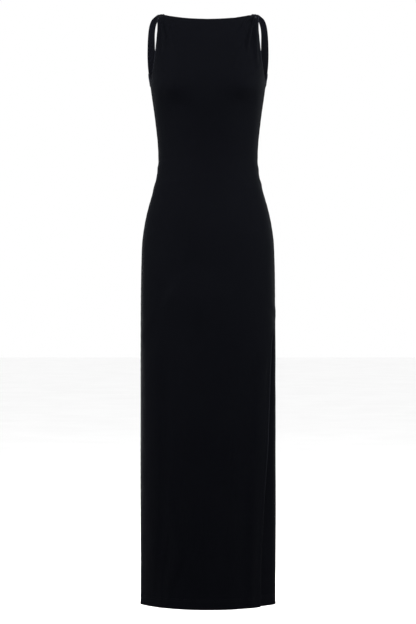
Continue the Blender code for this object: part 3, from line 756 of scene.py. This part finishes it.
def panel(name, grid, normal, lift, edges, seam_shift, keep, across, material):
    """A panel around its plain form, lifted by its creases, with its side seams, turned edges and hem. The
    edges are the side's and the top's, each as its distance and how free it is. Gives the piece and its two
    grids."""
    drop = -grid[..., 2]
    (to_side, side_free), top = edges
    seam = (1 - side_free) * np.exp(-((to_side / SEAM_SINK_WIDTH) ** 2))
    lift = lift - SEAM_SINK * seam + puckers(drop + seam_shift, to_side) * ease(to_side / PUCKER_START)
    edges = ((to_side, side_free, BAND_WIDTH), (*top, BAND_WIDTH), (HEM_DROP - drop, 1.0, HEM_WIDTH))
    outer, inner = cloth_wall(grid + normal * lift[..., None], *edge_profile(edges), CLOTH)
    keep_clear(outer, inner, *keep, drop)
    uv = np.stack([across, -drop], axis=2)
    return wall_object(name, outer, inner, uv, material, edge_highlight_share(edges, drop)), outer, inner


def keep_clear(outer, inner, sign, level_start, drop):
    """Keeps a panel's seams on its own side of their plane, half a seam gap away, from a first row down."""
    seamed = (np.arange(len(outer))[:, None] >= level_start) & ((outer[..., 0] < 0) | (drop <= SLIT_TOP))
    for part in (outer, inner):
        part[..., 1] = np.where(seamed, sign * np.maximum(sign * part[..., 1], SEAM_GAP / 2), part[..., 1])


def front_cloth(material):
    """The front, with its folds, gathers and turned edges. Gives the piece and its outer and inner grid."""
    grid, to_side, share, level_start = front_form()
    drop = -grid[..., 2]
    steps = np.linalg.norm(np.diff(grid, axis=0), axis=2)
    down = np.concatenate([np.zeros((1, grid.shape[1])), np.cumsum(steps, axis=0)])
    above = np.arange(len(grid))[:, None] < level_start
    hold = ease(to_side / HOLD_SIDE) * ease(down / HOLD_TOP)
    grid = blended(grid, ease(to_side / HOLD_BLEND))
    grid[..., 1] -= bust(grid[..., 0], drop) * hold
    normal = normals(grid)
    crease_hold = np.where(above, ease(to_side / HOLD_CREASE_SIDE), 1.0) * ease(down / HOLD_CREASE_TOP)
    lift = creases(grid, normal, ("front", "left", "right")) * crease_hold
    lift += unevenness(grid) * hold + tucks(share, down)
    armhole = 1 - ease((drop - UNDERARM_DROP + ARMHOLE_FADE) / ARMHOLE_FADE)
    slit = ease((drop - SLIT_TOP) / SLIT_FADE) * (share > 0)
    neck = 1 - ease((np.abs(grid[0, :, 0]) - SEAM_INNER_X + NECK_FADE) / NECK_FADE)
    edges = ((to_side, np.where(above, armhole, slit)), (down, np.broadcast_to(neck, drop.shape)))
    across = share * FRONT_HALF_CLOTH
    return panel("front_cloth", grid, normal, lift, edges, 0.0, (-1, level_start), across, material)


def back_cloth(material):
    """The back, with its scoop, its lap under the front and turned edges. Gives the piece and its grids."""
    grid, to_side, across = back_form()
    level_start = len(EDGE_STEPS) + SCOOP_ROWS - 1
    drop = -grid[..., 2]
    down = np.full(drop.shape, 1.0)  # a metre, far from the top, on the level rows
    down[:level_start] = np.linalg.norm(grid[:level_start, :, None] - grid[0][None, None], axis=3).min(2)
    normal = normals(grid)
    under = (across > 0) & (grid[..., 1] < 0)
    hold = ease(down / HOLD_SCOOP)
    lift = np.where(under, 0.0, creases(grid, normal, ("back", "left", "right")) * hold)
    lift += unevenness(grid) * hold * ease(to_side / HOLD_SIDE)
    slit = ease((drop - SLIT_TOP) / SLIT_FADE) * (across > 0)
    reach = {side: np.abs(across[0][np.sign(across[0]) == side]).max() for side in (-1, 1)}
    share = np.array([abs(u) / reach[1 if u > 0 else -1] for u in across[0]])
    foot = ease((share - FOOT_INNER_SHARE + FOOT_FADE) / FOOT_FADE)
    foot = foot * (1 - ease((share - FOOT_OUTER_SHARE) / FOOT_FADE))
    edges = ((to_side, slit), (down, np.broadcast_to(1 - foot, drop.shape)))
    return panel("back_cloth", grid, normal, lift, edges, PUCKER_SHIFT, (1, 0), across, material)


def seam_allowance(name, front, back, side, bottom, material):
    """The pressed edges behind a side seam, from one panel's inner grid to the other's."""
    drops = np.arange(UNDERARM_DROP + ALLOWANCE_END, bottom - ALLOWANCE_END, ALLOWANCE_STEP)
    steps = [nearest(EDGE_STEPS, distance) for distance in ALLOWANCE_COLUMNS]
    first, second = (front, back) if side > 0 else (back, front)
    lines = [first[:, -1 - k] for k in steps] + [second[:, k] for k in steps[::-1]]
    columns = [[np.interp(drops, -line[:, 2], line[:, axis]) for axis in (0, 1)] + [-drops] for line in lines]
    grid = np.array(columns).transpose(2, 0, 1)
    grid = grid - normals(grid) * SEAM_GAP
    nothing = np.zeros(grid.shape[:2])
    outer, inner = cloth_wall(grid, nothing, nothing, np.ones(grid.shape[:2]), ALLOWANCE_CLOTH)
    across = np.array([-d for d in ALLOWANCE_COLUMNS] + list(ALLOWANCE_COLUMNS[::-1]))
    uv = np.stack(np.broadcast_arrays(across[None], -drops[:, None]), axis=2)
    return wall_object(name, outer, inner, uv, material)


def strap_cloth(name, side, material):
    """A strap over one shoulder, from the front's gathered corner to its foot on the back."""
    rise = SEAM_GAP * np.array([0.0, SEAM_NORMAL[2], -SEAM_NORMAL[1]])
    start = np.array([[side * at_neckline("edge_x"), -at_neckline("edge_depth"), -at_neckline("edge_drop")],
                      [side * SEAM_INNER_X, -SEAM_INNER_DEPTH, -SEAM_INNER_DROP]]) + rise
    across = np.linspace(0, 1, STRAP_COLUMNS)
    shares = FOOT_OUTER_SHARE + (FOOT_INNER_SHARE - FOOT_OUTER_SHARE) * across
    foot = [at_shares(back_half(float(back_top_drop(share)), -1)[0], [share])[0] for share in shares]
    foot = np.array(foot) * [-side, 1, 1] + [0.0, 0.0, SEAM_GAP]
    path = np.array(STRAP_PATH).reshape(-1, 2, 3) * [side, 1, -1]
    ways = [np.concatenate([start[k:k + 1], path[:, k], foot[[-k]]]) for k in (0, 1)]
    knots = distances((ways[0] + ways[1]) / 2)
    at = np.linspace(0, knots[-1], STRAP_ROWS)
    edges = [np.stack([smooth(at, knots, way[:, k]) for k in range(3)], axis=1) for way in ways]
    grid = edges[0][:, None] * (1 - across[None, :, None]) + edges[1][:, None] * across[None, :, None]
    flat_foot = foot[0] * (1 - across[:, None]) + foot[-1] * across[:, None]
    nearing = ease((at - knots[-2]) / (knots[-1] - knots[-2]))
    grid = grid + (foot - flat_foot)[None] * nearing[:, None, None]
    if side < 0:
        grid = grid[:, ::-1]
    normal = normals(grid)
    along = at / at[-1]
    arch = np.sqrt(np.sin(np.pi * along).clip(0))[:, None] * np.sin(np.pi * across)[None]
    wave = np.sin(2 * np.pi * (across[None] * STRAP_WAVES + STRAP_WAVE_SLANT * along[:, None]))
    fading = np.exp(-at / STRAP_WAVE_REACH)[:, None] * ease(at / STRAP_WAVE_START)[:, None]
    grid = grid + normal * (STRAP_CROWN * arch + STRAP_WAVE * wave * fading)[..., None]
    width = np.linalg.norm(edges[0] - edges[1], axis=1)
    to_side = np.minimum(across, 1 - across)[None] * width[:, None]
    left = rim(to_side, STRAP_CLOTH)
    outer, inner = cloth_wall(grid, np.zeros_like(left), STRAP_FULLNESS * arch, left, STRAP_CLOTH)
    uv = np.stack([across[None] * width[:, None], np.broadcast_to(-at[:, None], left.shape)], axis=2)
    return wall_object(name, outer, inner, uv, material)


# Thread: stitches as small capsules, with their ends in the cloth
STITCH_PITCH = 0.0032
STITCH_LENGTH = 0.0024
STITCH_RADIUS = 0.00022
STITCH_RINGS = ((-0.5, 0.35, -0.6), (-0.35, 0.9, 0.3), (0.0, 1.0, 0.5), (0.35, 0.9, 0.3), (0.5, 0.35, -0.6))
STITCH_SIDES = 6
STITCH_DISTANCE = 0.0061  # from a turned edge to its row
STITCH_END = 6  # steps of a grid left free at the ends of such a row
HEM_STITCH_DROPS = (HEM_DROP - 0.0246, HEM_DROP - 0.0200)
HEM_STITCH_END = 4
SLIT_STITCH_DROP = SLIT_TOP + 0.01


def evenly(points, normal, pitch):
    """Points, directions and normals at even distances along a line."""
    run = distances(points)
    at = np.arange(pitch, run[-1] - pitch, pitch)
    place = np.stack([np.interp(at, run, points[:, k]) for k in range(3)], axis=1)
    up = np.stack([np.interp(at, run, normal[:, k]) for k in range(3)], axis=1)
    way = np.gradient(place, axis=0)
    way /= np.linalg.norm(way, axis=1, keepdims=True)
    up -= way * (up * way).sum(1, keepdims=True)
    return place, way, up / np.linalg.norm(up, axis=1, keepdims=True)


def stitches(name, lines, material):
    """One piece with the stitches of several lines, each given as points and normals."""
    vertices, faces = [], []
    angle = np.arange(STITCH_SIDES) * 2 * math.pi / STITCH_SIDES
    for points, normal in lines:
        place, way, up = evenly(points, normal, STITCH_PITCH)
        side = np.cross(way, up)
        for p, w, u, s in zip(place, way, up, side):
            start = len(vertices)
            for along, radius, height in STITCH_RINGS:
                centre = p + w * along * STITCH_LENGTH + u * height * STITCH_RADIUS
                ring = np.cos(angle)[:, None] * s + np.sin(angle)[:, None] * u
                vertices.extend((centre + ring * radius * STITCH_RADIUS).tolist())
            for r in range(len(STITCH_RINGS) - 1):
                for k in range(STITCH_SIDES):
                    a, b = start + r * STITCH_SIDES + k, start + r * STITCH_SIDES + (k + 1) % STITCH_SIDES
                    faces.append((a, b, b + STITCH_SIDES, a + STITCH_SIDES))
            last = start + (len(STITCH_RINGS) - 1) * STITCH_SIDES
            faces.append(tuple(range(start + STITCH_SIDES - 1, start - 1, -1)))
            faces.append(tuple(range(last, last + STITCH_SIDES)))
    return smooth_object(name, np.array(vertices), faces, material)


# Materials
BLACK = (0.00077, 0.00085, 0.00128)
BLACK_WORN = (0.00093, 0.00103, 0.00150)
# Painted light: the straps' colour is made paler overall to lift the shade they lie in
STRAP_PAINTED_LIGHT = 1.45
STRAP_INSIDE_PAINTED_LIGHT = 2.5  # painted light on the straps' inside, which faces down and lies in shade; most at the shoulder
STRAP_PAINTED_LIGHT_START = 0.060  # way along the strap where that begins to fade
STRAP_PAINTED_LIGHT_FADE = 0.030
EDGE_PAINTED_HIGHLIGHT = 4.4  # how much paler the fold of a turned edge is painted, a painted highlight where it catches the light
INSIDE_U = 1.0  # added to U on the inside of every sheet, so that a material can tell
WALE = 0.0010
COURSE = 0.0008
SHEEN = 0.004
SHEEN_ROUGHNESS = 0.45
SHEEN_TINT = (0.70, 0.84, 1.0)
SPECULAR = 0.006
KNIT_LOOPS = 0.4  # share of the loops in the knit's height, against the ribs between wales
KNIT_FUZZ = 0.5
KNIT_BUMP = (0.35, 0.00015)  # strength and distance
FUZZ_SCALE = 900.0
PATCH_SCALE = 9.0
PATCH_SHARE = 0.6  # share of large patches in the dye's unevenness, against the fuzz
JERSEY_ROUGHNESS = (0.74, 0.90)
THREAD_DARK = (0.0016, 0.0018, 0.0026)
THREAD_PALE = (0.0030, 0.0033, 0.0044)
THREAD_TWIST_SCALE = 2400.0
THREAD_ROUGHNESS = (0.50, 0.66)
THREAD_BUMP = (0.3, 0.0001)
THREAD_SPECULAR = 0.02
NOISE_RANGE = (0.3, 0.7)  # where most of a noise lies


class Nodes:
    """A short way to add nodes to a material."""

    def __init__(self, name):
        self.material = bpy.data.materials.new(name)
        self.material.use_nodes = True
        self.tree = self.material.node_tree
        self.shader = self.tree.nodes["Principled BSDF"].inputs
        self.place = self.add("ShaderNodeTexCoord").outputs

    def add(self, kind, **settings):
        node = self.tree.nodes.new(kind)
        for key, value in settings.items():
            setattr(node, key, value)
        return node

    def put(self, value, socket):
        if isinstance(value, bpy.types.NodeSocket):
            self.tree.links.new(value, socket)
        else:
            socket.default_value = value

    def fill(self, inputs, values):
        for key, value in values.items():
            self.put(value, inputs[key])

    def math(self, operation, *values):
        node = self.add("ShaderNodeMath", operation=operation)
        for k, value in enumerate(values):
            self.put(value, node.inputs[k])
        return node.outputs[0]

    def noise(self, scale):
        node = self.add("ShaderNodeTexNoise")
        self.fill(node.inputs, {"Vector": self.place["Object"], "Scale": scale, "Detail": 2.0})
        return node.outputs["Fac"]

    def spread(self, value, low, high):
        node = self.add("ShaderNodeMapRange")
        least, most = NOISE_RANGE
        values = {"Value": value, "From Min": least, "From Max": most, "To Min": low, "To Max": high}
        self.fill(node.inputs, values)
        return node.outputs[0]

    def mixed(self, factor, low, high):
        node = self.add("ShaderNodeMix", data_type="RGBA")
        self.fill(node.inputs, {"Factor": self.spread(factor, 0.0, 1.0), "A": (*low, 1.0), "B": (*high, 1.0)})
        return node.outputs["Result"]

    def bump(self, height, strength, distance):
        node = self.add("ShaderNodeBump")
        self.fill(node.inputs, {"Strength": strength, "Distance": distance, "Height": height})
        self.put(node.outputs[0], self.shader["Normal"])

    def finished(self, colour, roughness, specular):
        values = {"Base Color": colour, "Roughness": roughness, "Specular IOR Level": specular}
        self.fill(self.shader, values)
        return self.material


def jersey(name, painted_light_scale=1.0, inside=0.0):
    """Matt black stretch jersey: fine knit wales and courses, a soft bloom, slightly uneven dye, painted
    highlights on its turned edges' folds, and painted light on the straps.
    """
    n = Nodes(name)
    split = n.add("ShaderNodeSeparateXYZ")
    n.put(n.place["UV"], split.inputs[0])
    across, down = split.outputs[:2]
    wales = n.math("DIVIDE", across, WALE)
    rows = n.math("DIVIDE", down, COURSE)
    slant = n.math("PINGPONG", wales, 0.5)
    loops = n.math("SINE", n.math("MULTIPLY", n.math("ADD", rows, slant), 2 * math.pi))
    ribs = n.math("COSINE", n.math("MULTIPLY", wales, 2 * math.pi))
    knit = n.math("ADD", n.math("MULTIPLY", loops, KNIT_LOOPS), n.math("MULTIPLY", ribs, KNIT_LOOPS - 1))
    fuzz = n.noise(FUZZ_SCALE)
    patches = n.noise(PATCH_SCALE)
    shade = n.math("ADD", n.math("MULTIPLY", patches, PATCH_SHARE), n.math("MULTIPLY", fuzz, 1 - PATCH_SHARE))
    # Painted light on the inside sheet of the straps, strongest at the shoulder and fading along them
    along = n.math("DIVIDE", n.math("ADD", down, STRAP_PAINTED_LIGHT_START), STRAP_PAINTED_LIGHT_FADE)
    fade = n.math("MULTIPLY", n.math("MINIMUM", n.math("EXPONENT", along), 1.0), inside)
    fade = n.math("MULTIPLY", fade, n.math("GREATER_THAN", across, INSIDE_U / 2))
    # Painted highlight along the folds of turned edges, read from the points
    edge_highlight_node = n.add("ShaderNodeAttribute", attribute_name=PAINTED_HIGHLIGHT_ATTRIBUTE)
    painted_highlight = n.math("MULTIPLY", edge_highlight_node.outputs["Fac"], EDGE_PAINTED_HIGHLIGHT)
    tone = n.add("ShaderNodeVectorMath", operation="SCALE")
    n.put(n.mixed(shade, BLACK, BLACK_WORN), tone.inputs[0])
    n.put(n.math("ADD", n.math("ADD", fade, painted_highlight), painted_light_scale), tone.inputs["Scale"])
    n.bump(n.math("ADD", knit, n.math("MULTIPLY", fuzz, KNIT_FUZZ)), *KNIT_BUMP)
    sheen = {"Sheen Weight": SHEEN, "Sheen Roughness": SHEEN_ROUGHNESS, "Sheen Tint": (*SHEEN_TINT, 1.0)}
    n.fill(n.shader, sheen)
    return n.finished(tone.outputs[0], n.spread(fuzz, *JERSEY_ROUGHNESS), SPECULAR)


def thread():
    """Black sewing thread, a little smoother than the jersey, with its twist."""
    n = Nodes("thread")
    twist = n.noise(THREAD_TWIST_SCALE)
    n.bump(twist, *THREAD_BUMP)
    colour = n.mixed(twist, THREAD_DARK, THREAD_PALE)
    return n.finished(colour, n.spread(twist, *THREAD_ROUGHNESS), THREAD_SPECULAR)


# Studio
FLOOR_Z = -1.50
CAMERA_DISTANCE = 5.0
CAMERA_Z = -0.7232
LENS = 118.4
SENSOR = 36.0
FLOOR_HALF = 30.0
FLOOR_COLOURS = ((0.93, 0.93, 0.93), (0.96, 0.96, 0.96))
FLOOR_PATCH_SCALE = 3.0
FLOOR_ROUGHNESS = 0.9
FLOOR_SPECULAR = 0.1
# Softboxes: name, place, what it is aimed at, size, watts and spread in degrees
SOFTBOXES = (
    ("key", (0.15, -2.4, 1.2), (0.0, 0.0, -0.20), (1.2, 0.8), 26.5, 62),
    ("top", (-0.3, -1.2, 1.5), (0.0, 0.0, -0.3), (1.2, 0.7), 38, 180),
    ("fill", (-0.3, -2.6, 0.1), (0.0, 0.0, -0.64), (0.8, 0.5), 3.0, 36),
    ("side_left", (1.8, -0.2, 0.2), (0.0, 0.0, -0.2), (0.4, 1.2), 15.5, 80),
    ("side_right", (-1.8, -0.2, 0.2), (0.0, 0.0, -0.2), (0.4, 1.2), 11.5, 80),
    ("rim_left", (1.1, 1.4, -0.6), (0.0, 0.0, -0.6), (0.4, 1.6), 17, 180),
    ("rim_right", (-0.85, 1.6, -1.2), (0.0, 0.0, -1.2), (0.4, 1.0), 50, 180),
    ("behind", (0.2, 2.4, 1.3), (0.0, 0.0, -0.3), (1.2, 0.8), 60, 180),
)


def floor():
    """A plain pale floor."""
    mesh = bpy.data.meshes.new("floor")
    corners = [(x * FLOOR_HALF, y * FLOOR_HALF, FLOOR_Z) for x, y in ((-1, -1), (1, -1), (1, 1), (-1, 1))]
    mesh.from_pydata(corners, [], [(0, 1, 2, 3)])
    n = Nodes("floor_paint")
    colour = n.mixed(n.noise(FLOOR_PATCH_SCALE), *FLOOR_COLOURS)
    mesh.materials.append(n.finished(colour, FLOOR_ROUGHNESS, FLOOR_SPECULAR))
    placed("floor", mesh)


def studio():
    """White surroundings, a soft key from above the front, and lights from the top, the sides and behind."""
    world = bpy.data.worlds.new("studio")
    world.use_nodes = True
    background = world.node_tree.nodes["Background"].inputs
    background["Color"].default_value = (1.0, 1.0, 1.0, 1.0)
    background["Strength"].default_value = 1.0
    bpy.context.scene.world = world
    for name, place, aim, size, power, spread in SOFTBOXES:
        data = bpy.data.lights.new(name, "AREA")
        data.shape = "RECTANGLE"
        data.size, data.size_y = size
        data.energy = power
        data.spread = math.radians(spread)
        box = placed(name, data)
        box.location = place
        box.rotation_euler = (Vector(aim) - Vector(place)).to_track_quat("-Z", "Y").to_euler()


def camera():
    """The photograph's view: level, straight at the front, with white shown as white."""
    bpy.context.scene.view_settings.view_transform = "Standard"
    bpy.context.scene.view_settings.look = "None"
    data = bpy.data.cameras.new("camera")
    data.lens = LENS
    data.sensor_width = SENSOR
    obj = placed("camera", data)
    obj.location = (0.0, -CAMERA_DISTANCE, CAMERA_Z)
    obj.rotation_euler = (math.pi / 2, 0.0, 0.0)
    bpy.context.scene.camera = obj


def hand_over(piece, node, sewing=()):
    """Attaches a piece of cloth and its sewing to the root body, and hides the part of model.glb that it
    replaces.
    """
    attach(piece, "root")
    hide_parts(node)
    for other in sewing:
        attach(other, "root")


def nearest(values, wanted):
    """Index of the value nearest to the one wanted."""
    return int(np.abs(np.asarray(values) - wanted).argmin())


def rows_at(outer, *wanted):
    """The rows of a panel's grid nearest to some drops at its middle."""
    drops = -outer[:, outer.shape[1] // 2, 2]
    return [nearest(drops, drop) for drop in wanted]


def panel_stitches(name, outer, rows, columns, material):
    """A panel's stitches: two rows at its hem, and others along parts of its grid's rows and columns."""
    normal = normals(outer)
    rows = [(r, HEM_STITCH_END, -1 - HEM_STITCH_END) for r in rows_at(outer, *HEM_STITCH_DROPS)] + rows
    lines = [(outer[r, a:b], normal[r, a:b]) for r, a, b in rows]
    return stitches(name, lines + [(outer[a:b, c], normal[a:b, c]) for c, a, b in columns], material)


def build():
    """The whole scene, with every piece attached to the root body."""
    camera()
    studio()
    floor()
    sewing_thread = thread()
    step = nearest(EDGE_STEPS, STITCH_DISTANCE)

    front, outer, front_inner = front_cloth(jersey("front_jersey_looks"))
    underarm, slit, hem = rows_at(outer, UNDERARM_DROP, SLIT_STITCH_DROP, HEM_STITCH_DROPS[0])
    neck = np.flatnonzero(np.abs(outer[0, :, 0]) < SEAM_INNER_X)
    rows = [(step, neck[0], neck[-1] + 1)]
    columns = [(step, STITCH_END, underarm), (-1 - step, STITCH_END, underarm), (-1 - step, slit, hem)]
    front_sewing = panel_stitches("front_stitches", outer, rows, columns, sewing_thread)
    hand_over(front, "front_panel", [front_sewing])

    back_looks = jersey("back_jersey_looks")
    back, outer, back_inner = back_cloth(back_looks)
    slit, hem = rows_at(outer, SLIT_STITCH_DROP, HEM_STITCH_DROPS[0])
    rows, columns = [(step, STITCH_END, -1 - STITCH_END)], [(step, slit, hem)]
    back_sewing = panel_stitches("back_stitches", outer, rows, columns, sewing_thread)
    allowances = [
        seam_allowance("seam_allowance_left", front_inner, back_inner, 1, SLIT_TOP, back_looks),
        seam_allowance("seam_allowance_right", front_inner, back_inner, -1, HEM_DROP, back_looks),
    ]
    hand_over(back, "back_panel", [back_sewing, *allowances])

    for name, side in (("strap_left", 1), ("strap_right", -1)):
        # The straps' materials carry painted light: paler overall, and more on their inside near the shoulder
        looks = jersey(name + "_jersey_looks", STRAP_PAINTED_LIGHT, STRAP_INSIDE_PAINTED_LIGHT)
        strap = strap_cloth(name + "_cloth", side, looks)
        hand_over(strap, name)


build()
